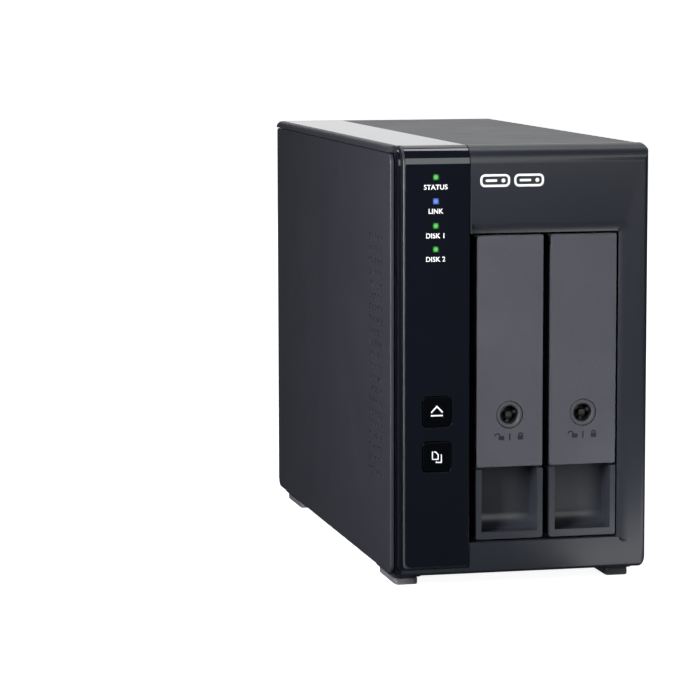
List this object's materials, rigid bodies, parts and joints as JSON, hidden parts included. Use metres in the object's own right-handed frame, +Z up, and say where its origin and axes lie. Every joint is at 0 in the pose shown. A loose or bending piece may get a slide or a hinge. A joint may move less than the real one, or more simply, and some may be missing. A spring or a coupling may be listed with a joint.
{
  "type": "network attached storage",
  "caption": "Upright desktop disk storage unit: black casing with gloss front strip, key-locked swing-handle drive trays, status lights, side vents and a rear fan.",
  "frame": {"origin": "middle of the footprint, on the plane the rubber feet stand on", "axes": "+Z up, front faces -Y, +X to the right seen from the front"},
  "size_m": [0.1, 0.219, 0.168],
  "materials": {
    "casing_black": "fine matte texture, near black",
    "bezel_black": "fine spark-textured black plastic",
    "gloss_black": "polished black plastic",
    "tray_grey": "coarse spark-textured dark grey plastic",
    "tray_satin": "smooth satin dark grey plastic",
    "lock_black": "satin black",
    "foot_rubber": "matte",
    "cage_steel": "zinc-plated sheet steel",
    "pin_steel": "ground",
    "screw_black": "black zinc",
    "drive_alloy": "cast, satin",
    "sink_alloy": "anodised",
    "circuit_green": "solder-masked board",
    "connector_black": "moulded",
    "port_steel": "plated sheet",
    "light_green": "lit light guide",
    "light_blue": "lit light guide",
    "slider_white": "moulded",
    "fan_black": "moulded"
  },
  "bodies": {
    "case": {"backplane_board": "circuit_green", "board_link_connector": "connector_black", "board_link_ribbon": "connector_black", "cage_floor": "cage_steel", "cage_left_plate": "cage_steel", "cage_right_plate": "cage_steel", "cage_roof": "cage_steel", "capacitor": "connector_black", "casing_screw_1": "screw_black", "casing_screw_2": "screw_black", "casing_screw_3": "screw_black", "controller_chip": "connector_black", "copy_button_switch": "connector_black", "dc_power_jack": "connector_black", "eject_button_switch": "connector_black", "fan_frame": "fan_black", "fan_lead": "connector_black", "fan_screw_1": "screw_black", "fan_screw_2": "screw_black", "fan_screw_3": "screw_black", "fan_screw_4": "screw_black", "foot_front_left": "foot_rubber", "foot_front_right": "foot_rubber", "foot_rear_left": "foot_rubber", "foot_rear_right": "foot_rubber", "front_bezel": "bezel_black", "front_board": "circuit_green", "gloss_front_panel": "gloss_black", "heat_sink": "sink_alloy", "left_side_cover": "casing_black", "light_guide_disk_1": "light_green", "light_guide_disk_2": "light_green", "light_guide_link": "light_blue", "light_guide_status": "light_green", "main_board": "circuit_green", "main_shell": "casing_black", "mode_switch_housing": "connector_black", "power_switch": "connector_black", "rear_panel": "casing_black", "sata_connector_1": "connector_black", "sata_connector_2": "connector_black", "top_gloss_strip": "gloss_black", "usb_c_port": "port_steel"},
    "fan": {"fan_rotor": "fan_black"},
    "eject_button": {"eject_button": "gloss_black"},
    "copy_button": {"copy_button": "gloss_black"},
    "power_button": {"power_button": "bezel_black"},
    "mode_slider_1": {"mode_slider_1": "slider_white"},
    "mode_slider_2": {"mode_slider_2": "slider_white"},
    "mode_slider_3": {"mode_slider_3": "slider_white"},
    "tray_1": {"tray_body_1": "tray_satin", "handle_pin_1": "pin_steel", "hard_drive_1": "drive_alloy"},
    "handle_1": {"tray_handle_1": "tray_grey"},
    "lock_1": {"tray_lock_1": "lock_black"},
    "tray_2": {"tray_body_2": "tray_satin", "handle_pin_2": "pin_steel", "hard_drive_2": "drive_alloy"},
    "handle_2": {"tray_handle_2": "tray_grey"},
    "lock_2": {"tray_lock_2": "lock_black"}
  },
  "joints": [
    {"name": "tray_1_slide", "type": "slide", "parent": "case", "child": "tray_1", "axis": [0, -1, 0], "range_m": [0, 0.175]},
    {"name": "handle_1_hinge", "type": "hinge", "parent": "tray_1", "child": "handle_1", "pos_m": [-0.00405, -0.105, 0.1317], "axis": [-1, 0, 0], "range_deg": [0, 65]},
    {"name": "lock_1_turn", "type": "hinge", "parent": "handle_1", "child": "lock_1", "pos_m": [-0.00405, -0.1075, 0.0657], "axis": [0, 1, 0], "range_deg": [0, 90]},
    {"name": "tray_2_slide", "type": "slide", "parent": "case", "child": "tray_2", "axis": [0, -1, 0], "range_m": [0, 0.175]},
    {"name": "handle_2_hinge", "type": "hinge", "parent": "tray_2", "child": "handle_2", "pos_m": [0.0249, -0.105, 0.1317], "axis": [-1, 0, 0], "range_deg": [0, 65]},
    {"name": "lock_2_turn", "type": "hinge", "parent": "handle_2", "child": "lock_2", "pos_m": [0.0249, -0.1075, 0.0657], "axis": [0, 1, 0], "range_deg": [0, 90]},
    {"name": "eject_button_press", "type": "slide", "parent": "case", "child": "eject_button", "axis": [0, 1, 0], "range_m": [0, 0.0008], "stiffness_N_per_m": 1000},
    {"name": "copy_button_press", "type": "slide", "parent": "case", "child": "copy_button", "axis": [0, 1, 0], "range_m": [0, 0.0008], "stiffness_N_per_m": 1000},
    {"name": "power_button_press", "type": "slide", "parent": "case", "child": "power_button", "axis": [0, -1, 0], "range_m": [0, 0.0012], "stiffness_N_per_m": 800},
    {"name": "mode_slider_1_move", "type": "slide", "parent": "case", "child": "mode_slider_1", "axis": [1, 0, 0], "range_m": [0, 0.002]},
    {"name": "mode_slider_2_move", "type": "slide", "parent": "case", "child": "mode_slider_2", "axis": [1, 0, 0], "range_m": [0, 0.002]},
    {"name": "mode_slider_3_move", "type": "slide", "parent": "case", "child": "mode_slider_3", "axis": [1, 0, 0], "range_m": [0, 0.002]},
    {"name": "fan_spin", "type": "hinge", "parent": "case", "child": "fan", "pos_m": [0.011, 0.097, 0.098], "axis": [0, 1, 0], "continuous": true}
  ]
}
